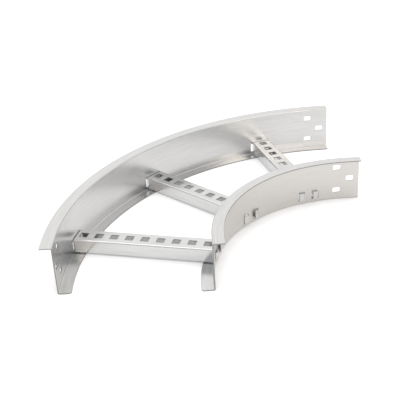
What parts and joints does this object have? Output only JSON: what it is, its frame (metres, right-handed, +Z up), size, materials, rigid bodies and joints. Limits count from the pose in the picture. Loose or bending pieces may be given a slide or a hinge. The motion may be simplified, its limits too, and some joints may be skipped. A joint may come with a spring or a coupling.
{
  "type": "cable tray bend",
  "caption": "Flat 90 degree ladder-type cable tray bend: two curved Z-section side rails joined by punched channel rungs, with coupling holes at both ends.",
  "frame": {"origin": "middle of the bend's outer box, at the height of the surface that it lies on. The centre of the bend is at x = 0.2905, y = -0.2905 m.", "axes": "+Z up, out of the open top of the tray. The front end faces -Y, the right end faces +X, and the outer rail runs round by -X and +Y."},
  "size_m": [0.651, 0.651, 0.1],
  "materials": {
    "rail_sheet": "cold-rolled stainless sheet, 2 mm, smooth and softly bright",
    "rung_sheet": "cold-rolled stainless sheet, 1.5 mm, smooth and softly bright"
  },
  "bodies": {
    "root": {"outer_rail": "rail_sheet", "inner_rail": "rail_sheet", "rung_1": "rung_sheet", "rung_2": "rung_sheet", "rung_3": "rung_sheet"}
  },
  "joints": []
}
